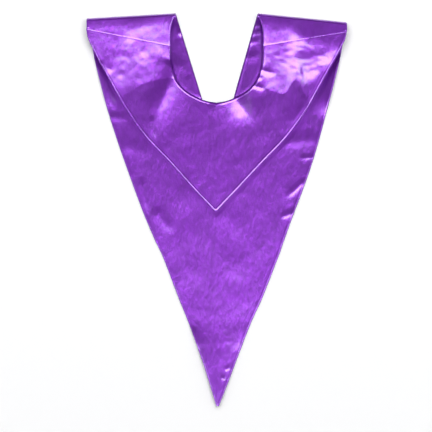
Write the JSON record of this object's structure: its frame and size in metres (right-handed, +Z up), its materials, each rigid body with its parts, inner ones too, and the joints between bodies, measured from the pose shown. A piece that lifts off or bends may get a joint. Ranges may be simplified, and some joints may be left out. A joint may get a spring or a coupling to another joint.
{
  "type": "choir v stole",
  "caption": "Satin choir stole laid flat: a long pointed front face down, folded over at the shoulders, with a short pointed back on top.",
  "frame": {"origin": "on the surface it lies on, under the middle of the stole's outline", "axes": "+Y from the long point towards the shoulder folds, +X across the shoulders to the right as seen from above, +Z up from the surface"},
  "size_m": [0.507, 0.7652, 0.0198],
  "materials": {
    "satin": "purple polyester satin, bright side out"
  },
  "bodies": {
    "root": {"front_shell": "satin", "front_lining": "satin", "back_shell": "satin", "back_lining": "satin"}
  },
  "joints": []
}
